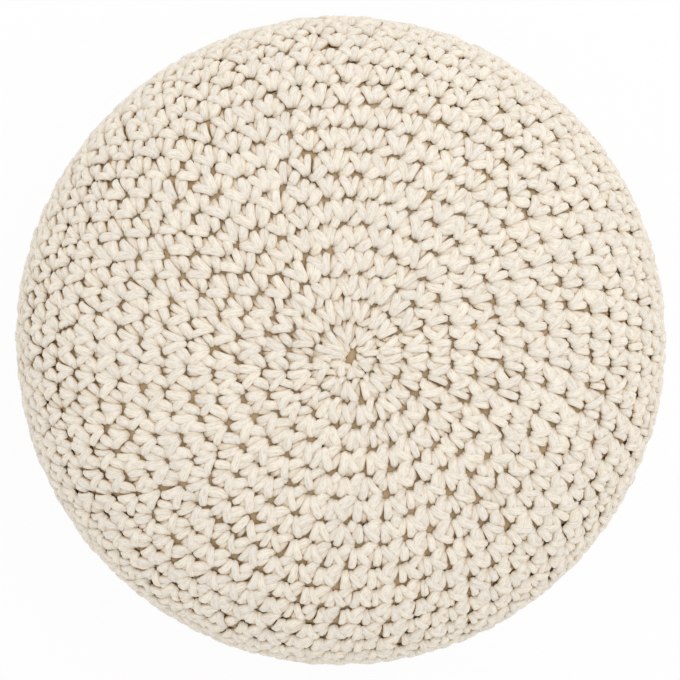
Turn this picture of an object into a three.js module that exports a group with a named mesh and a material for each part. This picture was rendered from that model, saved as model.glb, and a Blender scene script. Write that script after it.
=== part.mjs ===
// A round floor pouf: a cream cover, crocheted in one spiral from thick soft cotton cord,
// closed all round a filled cushion in a tan casing.
// Millimetres, +Z up. The origin is the middle of the base, where the pouf rests on the floor.

import * as THREE from 'three';

// Driving dimensions.
const DIAMETER = 500; // over the widest round of the cover
const HEIGHT = 330;
const CROWN_HEIGHT = 150; // from the widest round up to the middle of the top
const CROWN_POWER = 2.8; // 2 is an ellipse, more is a flatter top with a tighter shoulder
const FOOT_RADIUS = 165; // of the part of the base that lies flat on the floor
const FOOT_POWER = 2.3; // as CROWN_POWER, for the curve from the widest round to the floor
const ROUND_PITCH = 17.9; // from one round of crochet to the next, along the surface
const GROOVE_DEPTH = 2.4; // of the groove between two rounds
const COVER_THICKNESS = 11; // of the crocheted fabric, two strands of cord deep
const RING_HOLE_RADIUS = 3.5; // of the starting ring's hole, in the middle of the top
const CLEARANCE = 0.3; // between the cover and the cushion

// Fineness of the faceted surfaces.
const FACETS = 48; // around the pouf
const INNER_STEPS = 18; // along the outline, inside the cover
const OUTLINE_DIVISIONS = 2000; // for measuring along the outline

// The pouf's outline in the plane of its radius and height. It runs from the middle of the top
// down to the edge of the flat foot, as two quarters of a superellipse that meet at the widest
// round.
class Outline extends THREE.Curve {

	getPoint( t, target = new THREE.Vector2() ) {

		const radius = DIAMETER / 2;
		const widest = HEIGHT - CROWN_HEIGHT;
		const turn = Math.PI * t;

		if ( t < 0.5 ) {

			return target.set(
				radius * Math.sin( turn ) ** ( 2 / CROWN_POWER ),
				widest + CROWN_HEIGHT * Math.cos( turn ) ** ( 2 / CROWN_POWER )
			);

		}

		const across = Math.max( Math.sin( turn ), 0 ) ** ( 2 / FOOT_POWER );
		const down = Math.abs( Math.cos( turn ) ) ** ( 2 / FOOT_POWER );
		return target.set( FOOT_RADIUS + ( radius - FOOT_RADIUS ) * across, widest * ( 1 - down ) );

	}

}

const outline = new Outline();
outline.arcLengthDivisions = OUTLINE_DIVISIONS;

// The point that lies a share of the way along the outline, moved straight into the pouf.
function inset( share, depth ) {

	const point = outline.getPointAt( share );
	const along = outline.getTangentAt( share );
	return new THREE.Vector2( point.x + along.y * depth, point.y - along.x * depth );

}

// The outline from the foot's edge up to the starting ring, a ridge for each round of crochet
// and a groove between two of them. The foot itself is pressed flat.
function ridgedOutline() {

	const rounds = Math.round( outline.getLength() / ROUND_PITCH );
	const points = [ new THREE.Vector2( FOOT_RADIUS, 0 ) ];

	for ( let round = rounds - 1; round >= 0; round -- ) {

		points.push( inset( ( round + 0.5 ) / rounds, 0 ) );
		if ( round > 0 ) points.push( inset( round / rounds, GROOVE_DEPTH ) );

	}

	return points;

}

// The outline moved in by a depth, from the middle of the top down to the foot's edge.
function smoothOutline( depth ) {

	const points = [];

	for ( let step = 1; step <= INNER_STEPS; step ++ ) {

		points.push( inset( step / INNER_STEPS, depth ) );

	}

	return points;

}

// A profile of radii and heights, turned about the Z axis.
function turned( profile ) {

	return new THREE.LatheGeometry( profile, FACETS ).rotateX( Math.PI / 2 );

}

// The cover is one shell of even thickness. Its only opening is the starting ring's hole.
function crochetCover() {

	const innerTop = HEIGHT - COVER_THICKNESS;

	return turned( [
		new THREE.Vector2( 0, 0 ),
		...ridgedOutline(),
		new THREE.Vector2( RING_HOLE_RADIUS, HEIGHT ),
		new THREE.Vector2( RING_HOLE_RADIUS, innerTop ),
		...smoothOutline( COVER_THICKNESS ),
		new THREE.Vector2( 0, COVER_THICKNESS )
	] );

}

// The cushion fills the cover, with its crown under the ring's hole.
function filledCushion() {

	const depth = COVER_THICKNESS + CLEARANCE;

	return turned( [
		new THREE.Vector2( 0, depth ),
		...smoothOutline( depth ).reverse(),
		new THREE.Vector2( 0, HEIGHT - depth )
	] );

}

function piece( name, geometry, color, roughness ) {

	const material = new THREE.MeshStandardMaterial( { color, roughness, metalness: 0 } );
	const mesh = new THREE.Mesh( geometry, material );
	mesh.name = name;
	return mesh;

}

const group = new THREE.Group();
group.add( piece( 'crochet_cover', crochetCover(), 0xede3d2, 0.9 ) );
group.add( piece( 'filled_cushion', filledCushion(), 0xa8845a, 0.95 ) );

export default group;
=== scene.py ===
"""A crocheted round floor pouf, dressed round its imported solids.

The cover is one spiral of single crochet, worked strand by strand in thick cotton cord. Every strand is a
short tube whose middle line is a small table in the stitch's own measures, laid over the pouf's outline. The
filled cushion inside shows through the gaps between the stitches. Sizes are in metres unless they say so.
"""

import math

import bpy
import numpy as np
from mathutils import Matrix, Vector


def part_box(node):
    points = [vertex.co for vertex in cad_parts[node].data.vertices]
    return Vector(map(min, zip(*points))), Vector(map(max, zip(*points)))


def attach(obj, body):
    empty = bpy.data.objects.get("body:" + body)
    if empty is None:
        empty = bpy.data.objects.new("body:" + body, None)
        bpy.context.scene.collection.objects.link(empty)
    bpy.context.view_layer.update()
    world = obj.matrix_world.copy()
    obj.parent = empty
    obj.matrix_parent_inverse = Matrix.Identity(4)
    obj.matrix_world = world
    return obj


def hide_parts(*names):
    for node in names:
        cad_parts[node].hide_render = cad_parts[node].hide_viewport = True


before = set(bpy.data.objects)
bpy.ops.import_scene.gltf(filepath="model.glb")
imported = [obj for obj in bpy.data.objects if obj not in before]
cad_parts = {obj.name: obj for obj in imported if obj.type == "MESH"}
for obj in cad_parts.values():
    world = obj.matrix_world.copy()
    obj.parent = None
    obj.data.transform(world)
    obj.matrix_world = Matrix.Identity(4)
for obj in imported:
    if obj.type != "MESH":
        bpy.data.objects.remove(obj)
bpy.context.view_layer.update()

# ---------------------------------------------------------------- sizes

cover_low, cover_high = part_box("crochet_cover")

RADIUS = (cover_high.x - cover_low.x) / 2
HEIGHT = cover_high.z
CROWN_HEIGHT = 0.150  # from the widest round up to the middle of the top
CROWN_POWER = 2.8
FOOT_RADIUS = 0.165  # of the part of the base that lies flat
FOOT_POWER = 2.3
CASING_DEPTH = 0.0067  # from the cover's face in to the casing, which presses out between the strands

ROUND_PITCH = 0.0179  # from one round of crochet to the next
RING_RADIUS = 0.0058  # of the starting ring's hole
RING_OVAL = 0.32  # how much longer and shorter the hole's two half axes are
RING_TURN = math.radians(70)  # the way that the hole's long axis points
FIRST_TOP = 0.6  # the first stitch's top, in round pitches from the middle of the top
FIRST_ANGLE = math.radians(172)  # where the spiral starts
SHORTEST_STITCH = 0.62  # in round pitches, round the starting ring
STITCH_COUNTS = {  # stitches in a turn, by how many rounds it is from the middle of the top or the base
    "round": (1, 2, 3, 4.7, 14.2),
    "stitches": (6, 14, 20, 27.5, 78.35),
}
CLOSING_STITCHES = 7  # that draw the last round together in the middle of the base
CLOSING_END = 0.0015  # from their tops to the middle of the base
RANDOM_SEED = 11
MILLIMETRE = 0.001

# ---------------------------------------------------------------- the outline

CURVE_POINTS = 6001  # worked out along the top and the side
BASE_POINTS = 400  # and along the base
TABLE_POINTS = 4000  # evenly spaced, kept in the outline's table
SMOOTHING = 15  # how many of them each direction is averaged over, an odd number


def outline_table():
    """The distance along the pouf's outline, and the radius, height and outward direction there.

    The top is a quarter superellipse from the middle of the top to the widest round, the side is a second
    one from there to the edge of the foot, and the base is a straight line back to the axis. The outward
    direction is square to the averaged direction along the outline."""
    turn = np.linspace(0, math.pi, CURVE_POINTS)
    sine, cosine = np.sin(turn).clip(0), np.abs(np.cos(turn))
    widest = HEIGHT - CROWN_HEIGHT
    crown = turn < math.pi / 2
    radius = np.where(
        crown,
        RADIUS * sine ** (2 / CROWN_POWER),
        FOOT_RADIUS + (RADIUS - FOOT_RADIUS) * sine ** (2 / FOOT_POWER),
    )
    height = np.where(
        crown,
        widest + CROWN_HEIGHT * cosine ** (2 / CROWN_POWER),
        widest * (1 - cosine ** (2 / FOOT_POWER)),
    )
    radius = np.append(radius, np.linspace(FOOT_RADIUS, 0, BASE_POINTS)[1:])
    height = np.append(height, np.zeros(BASE_POINTS - 1))
    along = np.append(0, np.cumsum(np.hypot(np.diff(radius), np.diff(height))))
    even = np.linspace(0, along[-1], TABLE_POINTS)
    radius, height = np.interp(even, along, radius), np.interp(even, along, height)
    step_out, step_up = np.gradient(radius, even), np.gradient(height, even)
    smooth = np.ones(SMOOTHING) / SMOOTHING
    step_out = np.convolve(np.pad(step_out, SMOOTHING // 2, "edge"), smooth, "valid")
    step_up = np.convolve(np.pad(step_up, SMOOTHING // 2, "edge"), smooth, "valid")
    length = np.hypot(step_out, step_up)
    return even, radius, height, -step_up / length, step_out / length


ALONG, OUT_RADIUS, OUT_HEIGHT, FACE_OUT, FACE_UP = outline_table()
OUTLINE_LENGTH = ALONG[-1]


def on_pouf(angle, along, depth):
    """The point at an angle round the pouf and a distance along its outline, at a depth below its face."""
    radius = np.interp(along, ALONG, OUT_RADIUS) - depth * np.interp(along, ALONG, FACE_OUT)
    height = np.interp(along, ALONG, OUT_HEIGHT) - depth * np.interp(along, ALONG, FACE_UP)
    return np.stack([radius * np.cos(angle), radius * np.sin(angle), height], axis=-1)


def face_direction(angle, along):
    """The outward direction of the pouf's face at an angle and a distance along its outline."""
    out = np.interp(along, ALONG, FACE_OUT)
    up = np.interp(along, ALONG, FACE_UP)
    return np.stack([out * np.cos(angle), out * np.sin(angle), up], axis=-1)


# ---------------------------------------------------------------- the spiral of stitches


def ring_edge(angle):
    """How far the starting ring's oval edge is from the middle of the top, at an angle round the pouf."""
    return RING_RADIUS * (1 + RING_OVAL * np.cos(2 * (angle - RING_TURN)))


def rolling(angle, along, waves, rng):
    """A smooth uneven field over the pouf, from -1 to 1: the mean of waves, each a sine round the pouf times
    a cosine along its outline, with random phases."""
    total = np.zeros(np.broadcast(angle, along).shape)
    for around, outward in waves:
        phase, second = rng.uniform(0, 2 * math.pi, 2)
        total += np.sin(around * angle + phase) * np.cos(outward * along / ROUND_PITCH + second)
    return total / len(waves)


SPIRAL_POINTS = 20000  # along which the stitches are counted

# Smooth unevenness. Each wave is how often it repeats round the pouf, and how fast it turns along the
# outline, in radians a round pitch.
SPACING_WAVES = ((9, 0.9), (17, 1.7), (5, 2.6), (29, 0.4))
ROUND_WAVES = ((3, 0.5), (7, 1.1), (13, 1.9), (23, 0.7))
FULLNESS_WAVES = ((2, 0.6), (5, 0.9), (8, 1.5))
NOTCH_WAVES = ((83, 0.2), (61, 0.3), (47, 0.25))
LEAN_WAVES = ((4, 0.7), (9, 1.6))
CASING_WAVES = ((6, 1.3), (11, 2.1), (19, 0.8), (4, 3.0))

# Where the stitches stand. A smooth share varies over the pouf and a random one from stitch to stitch.
UNEVEN_SPACING = 0.10  # smooth, along the spiral, in stitch widths
RANDOM_SPACING = 0.03
UNEVEN_ROUNDS = 0.09  # smooth, from round to round, in round pitches
RANDOM_ROUNDS = 0.03
GAP_BEFORE = 0.35  # from a stitch's foot back to the gap beside it, in stitch widths
SHARED_GAP = 0.31  # how far two stitches worked into one gap stand either side of it, in stitch widths
STIFFNESS = 0.8  # of the spacing between neighbours, against a gap's pull on the stitch worked into it
EVENNESS = 0.03  # pull of the even spiral, on the same scale
SETTLING_STEPS = 300
SLIP = 0.55  # how far a foot slides in its gap towards its head
CROWDING = 0.85  # how far a stitch narrows or widens to the room between its neighbours

# How full the cord lies, against the widths in the strands' tables.
FULLNESS = 1.012
UNEVEN_FULLNESS = 0.12  # smooth
CLOSE_ANGLE = math.radians(10)  # the side of the pouf where the cord lies fullest
CLOSENESS = 0.025  # how much fuller it lies there
LOOSE_ANGLE = math.radians(151)  # the middle of a patch worked more loosely, round the pouf
LOOSE_ALONG = 0.140  # and along its outline
LOOSE_REACH = 0.070
LOOSENESS = 0.04  # how much thinner the cord lies there

# How the legs lean, in stitch widths from a stitch's foot to its top, and spread.
LEANING_ANGLE = math.radians(-40)  # the side of the pouf where the legs lean furthest forward
LEAN = 0.045
LEAN_TO_SIDE = 0.09  # how much more they lean on that side
RANDOM_LEAN = 0.04
UNEVEN_LEAN = 0.05  # smooth
SLIMNESS = 0.05  # how much slimmer the legs are on that side, and the loops fuller
WIDE_ANGLE = math.radians(-20)  # the side of the pouf where the legs stand furthest apart
APART = 0.03  # how much further apart the legs' feet stand, in stitch widths
RANDOM_APART = 0.015
APART_TO_SIDE = 0.035  # and how much further again on that side
FAN_POWER = 1.5  # of the legs' spread, which dies away towards the top of the stitch

# How deep the stitches sit, in millimetres.
RANDOM_SINK = 0.3
NOTCH_SINK = 1.1  # of the notches in the pouf's edge
NOTCH_REACH = 0.025  # of the notches either side of the widest round, in metres

# The stitches are packed near the starting ring.
PACKED_WIDTH = 0.0165  # the width of a stitch below which it begins to count as packed
PACKED_RANGE = 0.004  # how much narrower it is when it counts as fully packed
LONGER_LEGS = 0.40  # how much longer packed legs are
PACKED_FULLNESS = 0.12  # how much fuller packed loops are
PACKED_SINK = 0.8  # how much deeper packed loops sit, in millimetres


def even_spiral(rng):
    """The spiral before it settles: each stitch's angle, its width as an angle, where its top is along the
    outline and how full its cord lies.

    The spiral moves out by one round pitch a turn. The stitches in a turn grow up to the side's number and
    shrink the same way under the base, so the stitch count is the sum of stitches per turn along the spiral,
    and there is a stitch in the middle of each whole step of it. The closing stitches follow, evenly round
    the middle of the base. The cord's fullness is a smooth field, less a bell-shaped loose patch, plus a
    share of the cosine of the angle from the close side."""
    turns_in_all = OUTLINE_LENGTH / ROUND_PITCH - 2 * FIRST_TOP
    turn = np.linspace(0, turns_in_all, SPIRAL_POINTS)
    rounds = FIRST_TOP + np.minimum(turn, turns_in_all - turn)
    per_turn = np.interp(rounds, STITCH_COUNTS["round"], STITCH_COUNTS["stitches"])
    count = np.append(0, np.cumsum((per_turn[1:] + per_turn[:-1]) / 2 * np.diff(turn)))
    turn_at = np.interp(np.arange(0.5, count[-1]), count, turn)
    width = 2 * math.pi / np.interp(turn_at, turn, per_turn)
    top = ROUND_PITCH * (turn_at + FIRST_TOP)
    even = FIRST_ANGLE + 2 * math.pi * turn_at
    even = even + UNEVEN_SPACING * width * rolling(even, top, SPACING_WAVES, rng)
    even = even + RANDOM_SPACING * width * rng.standard_normal(len(even))
    wobble = rolling(even, top, ROUND_WAVES, rng)
    top = top + ROUND_PITCH * (UNEVEN_ROUNDS * wobble + RANDOM_ROUNDS * rng.standard_normal(len(even)))
    step = 2 * math.pi / CLOSING_STITCHES
    even = np.append(even, even[-1] + step * np.arange(1, CLOSING_STITCHES + 1))
    width = np.append(width, np.full(CLOSING_STITCHES, step))
    top = np.append(top, np.full(CLOSING_STITCHES, OUTLINE_LENGTH - CLOSING_END))
    full = FULLNESS + UNEVEN_FULLNESS * rolling(even, top, FULLNESS_WAVES, rng)
    away = on_pouf(even, top, 0) - on_pouf(LOOSE_ANGLE, LOOSE_ALONG, 0)
    full = full - LOOSENESS * np.exp(-((away**2).sum(axis=1)) / LOOSE_REACH**2)
    full = full + CLOSENESS * np.cos(even - CLOSE_ANGLE)
    return even, width, np.maximum(top, RING_RADIUS + SHORTEST_STITCH * ROUND_PITCH), full


def lay_spiral(rng):
    """Where each stitch sits and how it is worked.

    Each stitch is worked into the nearest gap of the round before. Then the heads settle by repeated
    averaging: a head is drawn to its own foot's gap, to an even distance from its neighbours and to the
    stitches that are worked into it, which spreads out the stitches where two share a gap.

    foot, head and before are the angles of the stitch's foot, of its head and of the foot of the stitch
    before. width is the stitch's width as an angle, top and bottom are where it ends and starts along the
    outline, and full is how full its cord lies. lean is how far its legs lean forward, sunk is how deep it
    sits, in millimetres, slim is how much slimmer its legs are, apart is how much further apart their feet
    stand, and packed is how closely it is packed, from 0 to 1. The notches in the pouf's edge are a smooth
    field of short waves that fades away from the widest round as a bell curve."""
    even, width, top, full = even_spiral(rng)
    count = len(even)
    gap = even - GAP_BEFORE * width
    wanted = even - 2 * math.pi
    after = np.clip(np.searchsorted(gap, wanted), 1, count - 1)
    parent = np.where(gap[after] - wanted < wanted - gap[after - 1], after, after - 1)
    first = wanted < gap[0]
    worked = ~first
    shares_next = np.append(parent[1:] == parent[:-1], False) & worked
    shares_last = np.append(False, shares_next[:-1])
    beside = SHARED_GAP * (shares_last.astype(float) - shares_next.astype(float)) * width
    reach = 2 * math.pi + beside - GAP_BEFORE * width[parent]
    children = np.bincount(parent[worked], minlength=count)
    head = even
    for _ in range(SETTLING_STEPS):
        foot = np.where(first, head, head[parent] + reach)
        ahead = np.append(head[1:], head[-1] + width[-1]) - width
        behind = np.append(head[0], head[:-1] + width[:-1])
        drawn = np.bincount(parent[worked], weights=(head - reach)[worked], minlength=count)
        total = worked * foot + STIFFNESS * (ahead + behind) + EVENNESS * even + drawn
        head = (head + total / (worked + 2 * STIFFNESS + EVENNESS + children)) / 2
    foot = np.where(first, head, foot + SLIP * (head - foot))
    bottom = np.where(first, ring_edge(head), (top[parent] + top[np.maximum(parent - 1, 0)]) / 2)
    before = np.append(foot[0] - width[0], foot[:-1])
    room = (np.append(head[1:], head[-1] + width[-1]) - np.append(head[0] - width[0], head[:-1])) / 2
    width = width + CROWDING * (room - width)
    at_edge = np.exp(-(((top - ALONG[np.argmax(OUT_RADIUS)]) / NOTCH_REACH) ** 2))
    notches = rolling(head, top, NOTCH_WAVES, rng)
    return {
        "foot": foot,
        "head": head,
        "before": before,
        "width": width,
        "top": top,
        "bottom": bottom,
        "full": full,
        "lean": (
            LEAN
            + LEAN_TO_SIDE * np.cos(head - LEANING_ANGLE)
            + RANDOM_LEAN * rng.standard_normal(count)
            + UNEVEN_LEAN * rolling(head, top, LEAN_WAVES, rng)
        ),
        "sunk": RANDOM_SINK * np.abs(rng.standard_normal(count)) + NOTCH_SINK * at_edge * (1 + notches),
        "slim": SLIMNESS * np.cos(head - LEANING_ANGLE),
        "apart": (
            APART + RANDOM_APART * rng.standard_normal(count) + APART_TO_SIDE * np.cos(head - WIDE_ANGLE)
        ),
        "packed": ((PACKED_WIDTH - width * np.interp(top, ALONG, OUT_RADIUS)) / PACKED_RANGE).clip(0, 1),
    }


# A strand's middle line, in the stitch's own measures. along is across the stitch in stitch widths, in the
# direction of work, from its foot. For a strand that spans it is from this stitch's foot, 0, to the foot of
# the one before, 1. out is from the foot of the stitch, 0, to its top, 1. depth is of the strand's middle
# below the cover's face and width is across the strand, both in millimetres. packed, which only the legs
# have, takes the place of along when the stitches are packed. rings and sides are those of the strand's tube.
STRANDS = {
    "long_leg": {
        "along": (0.04, 0.04, 0.07, 0.13, 0.21, 0.31, 0.40, 0.43),
        "packed": 0.25,
        "out": (0.19, 0.17, 0.24, 0.37, 0.52, 0.67, 0.79, 0.80),
        "depth": (6.8, 4.6, 3.3, 3.1, 3.1, 3.3, 4.6, 6.6),
        "width": (4.9, 5.8, 6.3, 6.6, 6.7, 6.6, 6.0, 4.6),
        "rings": 8,
        "sides": 8,
        "spans": False,
    },
    "short_leg": {
        "along": (-0.06, -0.06, -0.075, -0.105, -0.15, -0.20, -0.24, -0.245),
        "packed": -0.25,
        "out": (0.19, 0.17, 0.25, 0.39, 0.55, 0.71, 0.83, 0.84),
        "depth": (6.8, 4.8, 3.4, 3.0, 2.9, 3.0, 4.2, 6.6),
        "width": (4.7, 5.5, 6.0, 6.3, 6.4, 6.2, 5.6, 4.3),
        "rings": 8,
        "sides": 8,
        "spans": False,
    },
    "top_loop": {
        "along": (0.20, 0.29, 0.41, 0.54, 0.65, 0.74),
        "out": (0.05, -0.05, -0.02, 0.11, 0.26, 0.38),
        "depth": (6.4, 4.8, 3.8, 3.7, 4.2, 6.0),
        "width": (4.6, 6.2, 7.4, 8.0, 7.5, 5.6),
        "rings": 6,
        "sides": 8,
        "spans": True,
    },
    "back_loop": {
        "along": (0.22, 0.30, 0.39, 0.47, 0.52),
        "out": (0.14, 0.26, 0.42, 0.59, 0.72),
        "depth": (6.6, 5.3, 4.8, 5.1, 6.4),
        "width": (5.6, 7.5, 8.2, 7.8, 5.8),
        "rings": 5,
        "sides": 6,
        "spans": True,
    },
    "held_loop": {
        "along": (0.03, 0.01, -0.01),
        "out": (0.36, 0.68, 0.98),
        "depth": (5.4, 4.2, 6.0),
        "width": (4.6, 5.4, 4.6),
        "rings": 3,
        "sides": 6,
        "spans": False,
    },
    "carried_loop": {
        "along": (0.19, 0.20, 0.20),
        "out": (0.40, 0.70, 0.98),
        "depth": (5.6, 4.4, 6.2),
        "width": (4.6, 5.4, 4.6),
        "rings": 3,
        "sides": 6,
        "spans": False,
    },
}
THICKNESS_SHARE = 0.80  # a strand's thickness against its width, because the cord is soft
THINNEST = 0.0024  # that a strand gets, however narrow it is
WIDEST_SHARE = 0.46  # of a stitch's width that a strand may fill where the stitches crowd
NARROWEST = 0.0044  # where the stitches meet round the starting ring
ROOMY_WIDTH = 0.0200  # of a stitch in which the cord lies as wide as its table says
ROOMY_SHARE = 0.55  # of the cord's width that grows with the stitch's
ROOMY_LIMITS = (0.9, 1.18)  # of that growth
LOOP_FULLNESS = 0.04  # how much fuller the loops lie than the legs
LOOP_SHARE = 1.1  # of the legs' slimness, by which the loops are fuller
FACE_GAP = 0.0001  # from the cover's face down to the top of a strand
BASE_GAP = 0.002  # from the middle of the base out to a strand's middle line
SIDE_HEIGHT = 0.3  # below which a corner of a strand's section is on its side, against half its thickness, for the painted shade down the sides
PAINTED_CREASE_SHADE = 0.0036  # how much deeper a strand's sides count for the cord's colour, which paints shade down them

# Each strand's own random unevenness. It is moved and tilted towards the top of its stitch, and it is
# shifted, swung and bowed along the stitch. A strand that doesn't span is held near its foot as it swings.
OUT_MOVE = 0.024
OUT_TILT = 0.030
SPANNING_NUDGES = (0.026, 0.044, 0.032)  # the shift, the swing and the bow of a strand that spans
STANDING_NUDGES = (0.016, 0.042, 0.028)  # and of one that doesn't
FOOT_HOLD = 0.9  # 1 would keep its foot still
DEPTH_NUDGE = 0.35  # in millimetres
WIDTH_NUDGE = 0.08  # in shares of the width

# A strand's section, by its number of sides: half of its corners, from the top round to the underside, each
# across and over the strand in shares of half its width and half its thickness. The other half mirrors it.
SECTIONS = {
    8: ((0.46, 0.98), (0.92, 0.64), (1.0, 0.0), (0.58, -0.86)),
    6: ((0.48, 0.97), (1.0, 0.16), (0.54, -0.86)),
}


def strand_section(sides):
    """The corners of a strand's section in order round it: its half, then that half mirrored in reverse."""
    half = np.array(SECTIONS[sides])
    return np.vstack([half, half[::-1] * (-1, 1)]).T


def smooth_rows(rows, shares):
    """Each column of a strand's table read at even shares of its length, by a cubic through its points."""
    rows = np.asarray(rows, float)
    at = np.linspace(0, len(rows) - 1, shares)
    low = np.clip(at.astype(int), 0, len(rows) - 2)
    part = at - low
    before, after = rows[np.maximum(low - 1, 0)], rows[np.minimum(low + 2, len(rows) - 1)]
    here, ahead = rows[low], rows[low + 1]
    return here + part / 2 * (
        ahead - before
        + part * (2 * before - 5 * here + 4 * ahead - after + part * (3 * (here - ahead) + after - before))
    )


def strand_tubes(strand, stitches, chosen, rng):
    """All the tubes of one kind of strand for the chosen stitches, as whole arrays.

    The strand's table is read at even shares of its length. The legs' feet stand apart by a power of what is
    left to the stitch's top. Where the stitches are packed, the legs grow longer and draw together, and the
    loops are fuller and deeper. A strand that doesn't span leans with its stitch. Then each strand has its
    own random nudges.

    A ring of points, the strand's section, stands across the middle line at each of those shares. Its width
    lies along the pouf's face and its thickness is square to that and to the middle line. The depth that is
    kept for the cord's colour, which paints shade into the cord where it lies deep, leaves out how far the
    stitch is sunk, and it is greater on a strand's sides, which paints shade down them.
    stitches is the table that lay_spiral returns, in its order."""
    rings, sides, spans = strand["rings"], strand["sides"], strand["spans"]
    along, out, depth, width = (
        smooth_rows(strand[column], rings)[None, :] for column in ("along", "out", "depth", "width")
    )
    count = len(chosen)
    foot, head, before, pitch, top, bottom, full, lean, sunk, slim, apart, packed = (
        values[chosen][:, None] for values in stitches.values()
    )
    nudge = rng.standard_normal((7, count, 1))
    if "packed" in strand:
        full = full - slim
        out = out + LONGER_LEGS * packed * (out - 0.5)
        along = along + np.sign(strand["packed"]) * apart * (1 - out).clip(0, 1) ** FAN_POWER
        along = along + packed * (strand["packed"] - along)
    else:
        full = full + LOOP_FULLNESS + LOOP_SHARE * slim + PACKED_FULLNESS * packed
        depth = depth + PACKED_SINK * packed
    tilt = np.linspace(-1, 1, rings)[None, :]
    out = out + OUT_MOVE * nudge[0] + OUT_TILT * nudge[1] * tilt
    shift, swing, bow = SPANNING_NUDGES if spans else STANDING_NUDGES
    swung = tilt if spans else (tilt + FOOT_HOLD) / 2
    along = along if spans else along + lean * out
    along = along + shift * nudge[2] + swing * nudge[3] * swung + bow * nudge[4] * (1 - tilt**2)
    depth = depth + sunk + DEPTH_NUDGE * nudge[5]
    room = pitch * np.interp(top, ALONG, OUT_RADIUS) / ROOMY_WIDTH
    roomy = (1 - ROOMY_SHARE + ROOMY_SHARE * room).clip(*ROOMY_LIMITS)
    width = width * full * (1 + WIDTH_NUDGE * nudge[6]) * roomy

    if spans:
        at_angle = foot + along * (before - foot)
    else:
        at_angle = foot + (head - foot) * out.clip(0, 1) + along * pitch
    at_along = bottom + out * (top - bottom)
    at_along = np.clip(at_along, ring_edge(at_angle), OUTLINE_LENGTH - BASE_GAP)
    widest = np.maximum(WIDEST_SHARE * pitch * np.interp(at_along, ALONG, OUT_RADIUS), NARROWEST)
    width = np.minimum(MILLIMETRE * width, widest)
    thickness = np.maximum(width * THICKNESS_SHARE, THINNEST)
    middle_depth = np.maximum(MILLIMETRE * depth, thickness / 2 + FACE_GAP)

    middle = on_pouf(at_angle, at_along, middle_depth)
    face = face_direction(at_angle, at_along)
    forward = np.gradient(middle, axis=1)
    forward /= np.linalg.norm(forward, axis=2, keepdims=True)
    across = np.cross(forward, face)
    across /= np.linalg.norm(across, axis=2, keepdims=True)
    over = np.cross(across, forward)
    corner_across, corner_over = strand_section(sides)[:, :, None]
    ring = (
        middle[:, :, None, :]
        + corner_across * across[:, :, None, :] * (width / 2)[..., None, None]
        + corner_over * over[:, :, None, :] * (thickness / 2)[..., None, None]
    )
    run = np.append(
        np.zeros((count, 1)),
        np.cumsum(np.linalg.norm(np.diff(middle, axis=1), axis=2), axis=1),
        axis=1,
    )
    # Painted shade: the cord is coloured darker and browner with this depth, and deeper still down its sides.
    height = corner_over[..., 0]
    painted_shade_depth = (
        (middle_depth - MILLIMETRE * sunk)[..., None]
        - height * (thickness / 2)[..., None]
        + PAINTED_CREASE_SHADE * (height < SIDE_HEIGHT)
    )
    return {
        "points": ring.reshape(-1, 3),
        "rings": rings,
        "sides": sides,
        "count": count,
        "run": run,
        "depth": painted_shade_depth.reshape(-1),
        "tone": np.repeat(rng.random(count), rings * sides),
    }


def tube_faces(rings, sides, count, start):
    """The faces of many equal tubes: a quad from each side of a ring to the next, and a cap at each end."""
    ring = np.arange(rings - 1)[:, None] * sides
    side = np.arange(sides)[None, :]
    after = (side + 1) % sides
    corners = [ring + side, ring + after, ring + sides + after, ring + sides + side]
    quads = np.stack(corners, axis=-1).reshape(-1, 4)
    tubes = start + np.arange(count)[:, None, None] * rings * sides
    near = np.arange(sides)[::-1]
    far = (rings - 1) * sides + np.arange(sides)
    caps = np.stack([near, far])
    return (tubes + quads[None]).reshape(-1, 4), (tubes + caps[None]).reshape(-1, sides)


def tube_uvs(rings, sides, run):
    """Cord coordinates for each face corner: round the strand from 0 to 1 and along it in metres."""
    side = np.broadcast_to(np.arange(sides)[None, :], (rings - 1, sides))
    across = np.stack([side, side + 1, side + 1, side], axis=-1) / sides
    near, far = run[:, :-1, None], run[:, 1:, None]
    shape = (len(run), rings - 1, sides)
    lengths = np.stack([np.broadcast_to(v, shape) for v in (near, near, far, far)], axis=-1)
    quads = np.stack([np.broadcast_to(across, lengths.shape), lengths], axis=-1).reshape(-1, 2)
    return quads


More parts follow.
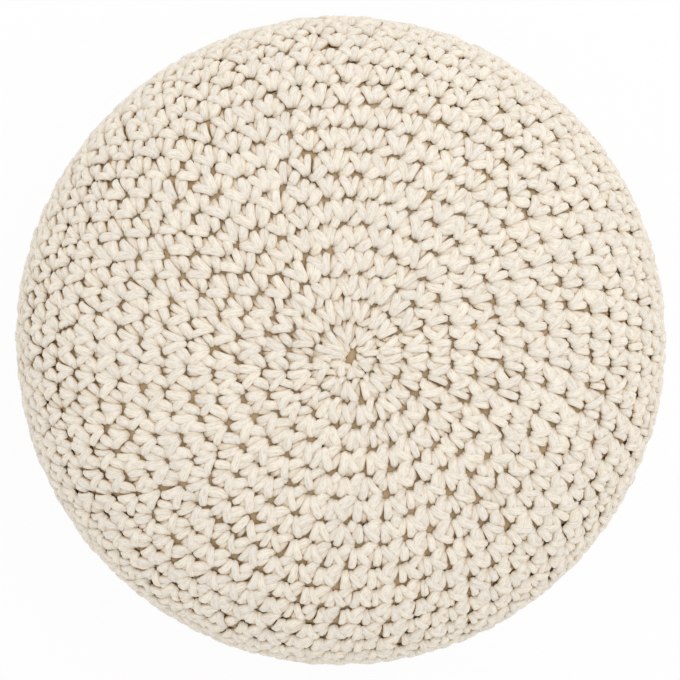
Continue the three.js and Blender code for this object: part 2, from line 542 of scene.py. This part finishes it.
def cord_mesh(name, stitches, chosen, rng):
    """One piece of the cover: every strand of the chosen stitches, joined into one mesh."""
    points, loops, sizes, uvs, painted_shade_depths, tones = [], [], [], [], [], []
    start = 0
    for strand in STRANDS.values():
        tubes = strand_tubes(strand, stitches, chosen, rng)
        quads, caps = tube_faces(tubes["rings"], tubes["sides"], tubes["count"], start)
        points.append(tubes["points"])
        loops += [quads.ravel(), caps.ravel()]
        sizes += [np.full(len(quads), 4), np.full(len(caps), tubes["sides"])]
        uvs += [tube_uvs(tubes["rings"], tubes["sides"], tubes["run"]), np.zeros((caps.size, 2))]
        painted_shade_depths.append(tubes["depth"])
        tones.append(tubes["tone"])
        start += len(tubes["points"])
    points, loops, sizes = np.concatenate(points), np.concatenate(loops), np.concatenate(sizes)
    mesh = bpy.data.meshes.new(name)
    mesh.vertices.add(len(points))
    mesh.vertices.foreach_set("co", points.astype(np.float32).ravel())
    mesh.loops.add(len(loops))
    mesh.loops.foreach_set("vertex_index", loops.astype(np.int32))
    mesh.polygons.add(len(sizes))
    mesh.polygons.foreach_set("loop_start", np.append(0, np.cumsum(sizes)[:-1]).astype(np.int32))
    mesh.polygons.foreach_set("use_smooth", np.ones(len(sizes), bool))
    layer = mesh.uv_layers.new(name="cord")
    layer.data.foreach_set("uv", np.concatenate(uvs).astype(np.float32).ravel())
    # depth carries the painted shade for the cord's colour; tone is each strand's own random tone.
    for attribute, values in (("depth", painted_shade_depths), ("tone", tones)):
        made = mesh.attributes.new(attribute, "FLOAT", "POINT")
        made.data.foreach_set("value", np.concatenate(values).astype(np.float32))
    mesh.update(calc_edges=True)
    mesh.validate()
    piece = bpy.data.objects.new(name, mesh)
    bpy.context.scene.collection.objects.link(piece)
    return piece


# ---------------------------------------------------------------- the cushion inside


CASING_UNEVENNESS = 0.0006  # smooth, in and out
CASING_POLE = 0.004  # from the middle of the top and of the base to the casing's first and last ring


def cushion_mesh(name, around=96, steps=100):
    """The cushion's casing: the pouf's outline at the casing's depth, turned about the axis, with a soft
    unevenness where the filling presses between the strands."""
    rng = np.random.default_rng(RANDOM_SEED + 1)
    along = np.linspace(CASING_POLE, OUTLINE_LENGTH - CASING_POLE, steps)[:, None]
    angle = np.linspace(0, 2 * math.pi, around, endpoint=False)[None, :]
    soft = rolling(angle, along, CASING_WAVES, rng)
    points = on_pouf(angle, along, CASING_DEPTH + CASING_UNEVENNESS * soft).reshape(-1, 3)
    points = np.vstack([points, [[0, 0, HEIGHT - CASING_DEPTH], [0, 0, CASING_DEPTH]]])
    step = np.arange(steps - 1)[:, None] * around
    side = np.arange(around)[None, :]
    after = (side + 1) % around
    corners = [step + side, step + around + side, step + around + after, step + after]
    quads = np.stack(corners, axis=-1).reshape(-1, 4)
    top, base = len(points) - 2, len(points) - 1
    last = (steps - 1) * around
    ring = np.arange(around)
    cap = np.stack([np.full(around, top), ring, (ring + 1) % around], axis=-1)
    foot = np.stack([np.full(around, base), last + (ring + 1) % around, last + ring], axis=-1)
    mesh = bpy.data.meshes.new(name)
    mesh.from_pydata(points.tolist(), [], quads.tolist() + cap.tolist() + foot.tolist())
    mesh.polygons.foreach_set("use_smooth", np.ones(len(mesh.polygons), bool))
    mesh.update()
    piece = bpy.data.objects.new(name, mesh)
    bpy.context.scene.collection.objects.link(piece)
    return piece


# ---------------------------------------------------------------- materials


def new_material(name):
    material = bpy.data.materials.new(name)
    material.use_nodes = True
    return material, material.node_tree.nodes, material.node_tree.links


def cotton_cord():
    """Soft matt cream cotton: fine fibres run along the strand and each strand has its own tone. The cord
    is painted darker and browner, as painted shade, where it lies deep and down the sides of each strand."""
    material, nodes, links = new_material("cream_cotton_cord")
    shader = nodes["Principled BSDF"]
    shader.inputs["Roughness"].default_value = 0.92
    shader.inputs["Specular IOR Level"].default_value = 0.15
    shader.inputs["Sheen Weight"].default_value = 0.12
    shader.inputs["Sheen Roughness"].default_value = 0.6

    cord = nodes.new("ShaderNodeUVMap")
    cord.uv_map = "cord"
    place = nodes.new("ShaderNodeMapping")
    place.inputs["Scale"].default_value = (20.0, 230.0, 1.0)
    links.new(cord.outputs["UV"], place.inputs["Vector"])
    tone = nodes.new("ShaderNodeAttribute")
    tone.attribute_name = "tone"
    shift = nodes.new("ShaderNodeCombineXYZ")
    spread = nodes.new("ShaderNodeMath")
    spread.operation = "MULTIPLY"
    spread.inputs[1].default_value = 37.0  # far enough to give each strand fibres of its own
    links.new(tone.outputs["Fac"], spread.inputs[0])
    links.new(spread.outputs[0], shift.inputs["Z"])
    join = nodes.new("ShaderNodeVectorMath")
    join.operation = "ADD"
    links.new(place.outputs["Vector"], join.inputs[0])
    links.new(shift.outputs["Vector"], join.inputs[1])
    fibres = nodes.new("ShaderNodeTexNoise")
    fibres.inputs["Scale"].default_value = 1.0
    fibres.inputs["Detail"].default_value = 3.0
    fibres.inputs["Roughness"].default_value = 0.6
    links.new(join.outputs["Vector"], fibres.inputs["Vector"])

    tint = nodes.new("ShaderNodeValToRGB")
    tint.color_ramp.elements[0].position = 0.34
    tint.color_ramp.elements[0].color = (0.745, 0.67, 0.56, 1)
    tint.color_ramp.elements[1].position = 0.56
    tint.color_ramp.elements[1].color = (0.905, 0.85, 0.76, 1)
    links.new(fibres.outputs["Fac"], tint.inputs["Fac"])

    each = nodes.new("ShaderNodeMix")
    each.data_type = "RGBA"
    each.blend_type = "MULTIPLY"
    each.inputs["Factor"].default_value = 1.0
    strand_tone = nodes.new("ShaderNodeValToRGB")
    strand_tone.color_ramp.elements[0].color = (0.93, 0.93, 0.94, 1)
    strand_tone.color_ramp.elements[1].color = (1.0, 0.99, 0.97, 1)
    links.new(tone.outputs["Fac"], strand_tone.inputs["Fac"])
    links.new(tint.outputs["Color"], each.inputs["A"])
    links.new(strand_tone.outputs["Color"], each.inputs["B"])

    # Painted shade: the depth attribute darkens and browns the cord where it lies deep and down its sides.
    depth = nodes.new("ShaderNodeAttribute")
    depth.attribute_name = "depth"
    painted_shade_share = nodes.new("ShaderNodeMapRange")
    painted_shade_share.inputs["From Min"].default_value = 0.0014
    painted_shade_share.inputs["From Max"].default_value = 0.0062
    links.new(depth.outputs["Fac"], painted_shade_share.inputs["Value"])
    # The brown of the painted shade, mixed in by depth.
    shaded = nodes.new("ShaderNodeMix")
    shaded.data_type = "RGBA"
    shaded.inputs["B"].default_value = (0.70, 0.555, 0.385, 1)
    links.new(painted_shade_share.outputs["Result"], shaded.inputs["Factor"])
    links.new(each.outputs["Result"], shaded.inputs["A"])
    links.new(shaded.outputs["Result"], shader.inputs["Base Color"])

    bump = nodes.new("ShaderNodeBump")
    bump.inputs["Strength"].default_value = 0.7
    bump.inputs["Distance"].default_value = 0.0006
    links.new(fibres.outputs["Fac"], bump.inputs["Height"])
    links.new(bump.outputs["Normal"], shader.inputs["Normal"])
    return material


def tan_casing():
    """Plain tan cotton cloth: a fine noise for its weave, and broad uneven dye."""
    material, nodes, links = new_material("tan_cotton_casing")
    shader = nodes["Principled BSDF"]
    shader.inputs["Roughness"].default_value = 0.95
    shader.inputs["Specular IOR Level"].default_value = 0.1
    place = nodes.new("ShaderNodeTexCoord")
    weave = nodes.new("ShaderNodeTexNoise")
    weave.inputs["Scale"].default_value = 900.0
    weave.inputs["Detail"].default_value = 2.0
    dye = nodes.new("ShaderNodeTexNoise")
    dye.inputs["Scale"].default_value = 35.0
    links.new(place.outputs["Object"], weave.inputs["Vector"])
    links.new(place.outputs["Object"], dye.inputs["Vector"])
    tint = nodes.new("ShaderNodeValToRGB")
    tint.color_ramp.elements[0].color = (0.50, 0.37, 0.22, 1)
    tint.color_ramp.elements[1].color = (0.62, 0.47, 0.29, 1)
    blend = nodes.new("ShaderNodeMath")
    blend.operation = "ADD"
    half = nodes.new("ShaderNodeMath")
    half.operation = "MULTIPLY"
    half.inputs[1].default_value = 0.5
    links.new(weave.outputs["Fac"], blend.inputs[0])
    links.new(dye.outputs["Fac"], blend.inputs[1])
    links.new(blend.outputs[0], half.inputs[0])
    links.new(half.outputs[0], tint.inputs["Fac"])
    links.new(tint.outputs["Color"], shader.inputs["Base Color"])
    bump = nodes.new("ShaderNodeBump")
    bump.inputs["Strength"].default_value = 0.4
    bump.inputs["Distance"].default_value = 0.0004
    links.new(weave.outputs["Fac"], bump.inputs["Height"])
    links.new(bump.outputs["Normal"], shader.inputs["Normal"])
    return material


def pale_floor():
    """A white floor that keeps the pouf's shadow: part lit white, and part its own white where it is seen, in
    gloss and through glass as well."""
    material, nodes, links = new_material("pale_floor")
    shader = nodes["Principled BSDF"]
    shader.inputs["Base Color"].default_value = (0.9, 0.9, 0.9, 1)
    shader.inputs["Roughness"].default_value = 1.0
    glow = nodes.new("ShaderNodeEmission")
    glow.inputs["Strength"].default_value = 1.0
    ray = nodes.new("ShaderNodeLightPath")
    seen = nodes.new("ShaderNodeMath")
    seen.operation = "MAXIMUM"
    links.new(ray.outputs["Is Camera Ray"], seen.inputs[0])
    links.new(ray.outputs["Is Glossy Ray"], seen.inputs[1])
    both = nodes.new("ShaderNodeMath")
    both.operation = "MAXIMUM"
    links.new(seen.outputs[0], both.inputs[0])
    links.new(ray.outputs["Is Transmission Ray"], both.inputs[1])
    share = nodes.new("ShaderNodeMath")
    share.operation = "MULTIPLY"
    share.inputs[1].default_value = 0.93
    links.new(both.outputs[0], share.inputs[0])
    mix = nodes.new("ShaderNodeMixShader")
    links.new(share.outputs[0], mix.inputs["Fac"])
    links.new(shader.outputs["BSDF"], mix.inputs[1])
    links.new(glow.outputs["Emission"], mix.inputs[2])
    links.new(mix.outputs["Shader"], nodes["Material Output"].inputs["Surface"])
    return material


# ---------------------------------------------------------------- camera, floor and light

CAMERA_TILT = math.radians(6.1)  # from straight down
CAMERA_SIDE = Vector((-0.559, 0.829, 0))  # the way that it leans
CAMERA_DISTANCE = 1.638  # to the middle of the top
CAMERA_LENS = 121.8  # in millimetres, as is the sensor
CAMERA_SENSOR = 36
CAMERA_AIM = Vector((-0.0085, 0.0121, 0))  # from the middle of the top to the middle of the view


def make_camera():
    top = Vector((0, 0, HEIGHT))
    lean = math.sin(CAMERA_TILT) * CAMERA_SIDE.normalized() + Vector((0, 0, math.cos(CAMERA_TILT)))
    place = top + CAMERA_DISTANCE * lean
    back = (place - (top + CAMERA_AIM)).normalized()
    right = Vector((0, 1, 0)).cross(back).normalized()
    data = bpy.data.cameras.new("camera")
    data.lens = CAMERA_LENS
    data.sensor_width = CAMERA_SENSOR
    camera = bpy.data.objects.new("camera", data)
    bpy.context.scene.collection.objects.link(camera)
    turned = Matrix((right, back.cross(right), back)).transposed().to_4x4()
    camera.matrix_world = Matrix.Translation(place) @ turned
    bpy.context.scene.camera = camera


def make_floor():
    bpy.ops.mesh.primitive_plane_add(size=12)
    floor = bpy.context.object
    floor.name = "floor"
    floor.data.materials.append(pale_floor())


def make_light(name, place, size, watts, colour):
    data = bpy.data.lights.new(name, "AREA")
    data.shape = "DISK"
    data.size = size
    data.energy = watts
    data.color = colour
    lamp = bpy.data.objects.new(name, data)
    bpy.context.scene.collection.objects.link(lamp)
    lamp.location = place
    lamp.rotation_mode = "QUATERNION"
    lamp.rotation_quaternion = (Vector(place) - Vector((0, 0, HEIGHT / 2))).to_track_quat("Z", "Y")


def make_world():
    """Even pale light, a little stronger low down than overhead, and plain white behind the pouf."""
    world = bpy.data.worlds.new("studio")
    world.use_nodes = True
    nodes, links = world.node_tree.nodes, world.node_tree.links
    lit = nodes["Background"]
    lit.inputs["Color"].default_value = (1.0, 0.995, 0.985, 1)
    way = nodes.new("ShaderNodeTexCoord")
    parts = nodes.new("ShaderNodeSeparateXYZ")
    fade = nodes.new("ShaderNodeMapRange")
    fade.inputs["To Min"].default_value = 1.25
    fade.inputs["To Max"].default_value = 0.665
    links.new(way.outputs["Generated"], parts.inputs["Vector"])
    links.new(parts.outputs["Z"], fade.inputs["Value"])
    links.new(fade.outputs["Result"], lit.inputs["Strength"])
    white = nodes.new("ShaderNodeBackground")
    white.inputs["Color"].default_value = (1, 1, 1, 1)
    white.inputs["Strength"].default_value = 1.0
    ray = nodes.new("ShaderNodeLightPath")
    mix = nodes.new("ShaderNodeMixShader")
    links.new(ray.outputs["Is Camera Ray"], mix.inputs["Fac"])
    links.new(lit.outputs["Background"], mix.inputs[1])
    links.new(white.outputs["Background"], mix.inputs[2])
    links.new(mix.outputs["Shader"], nodes["World Output"].inputs["Surface"])
    bpy.context.scene.world = world


make_camera()
make_floor()
make_world()
make_light("overhead", (0.5, 0.9, 2.4), 1.6, 15.5, (1.0, 0.985, 0.96))
bpy.context.scene.view_settings.view_transform = "Standard"

# ---------------------------------------------------------------- the pouf

BANDS = (  # the pieces of the cover, each up to a share of the way along the outline
    ("crown_rounds", 0.21),
    ("shoulder_rounds", 0.34),
    ("upper_side_rounds", 0.47),
    ("lower_side_rounds", 0.60),
    ("foot_rounds", 0.75),
    ("base_rounds", 1.0),
)


def make_cover():
    rng = np.random.default_rng(RANDOM_SEED)
    stitches = lay_spiral(rng)
    material = cotton_cord()
    share = (stitches["top"] - ROUND_PITCH / 2) / OUTLINE_LENGTH
    start = -1.0
    for name, end in BANDS:
        chosen = np.nonzero((share >= start) & (share < end))[0]
        piece = cord_mesh(name, stitches, chosen, rng)
        piece.data.materials.append(material)
        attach(piece, "root")
        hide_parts("crochet_cover")
        start = end


def make_cushion():
    cushion = cushion_mesh("cushion_casing")
    cushion.data.materials.append(tan_casing())
    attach(cushion, "root")
    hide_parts("filled_cushion")


make_cover()
make_cushion()
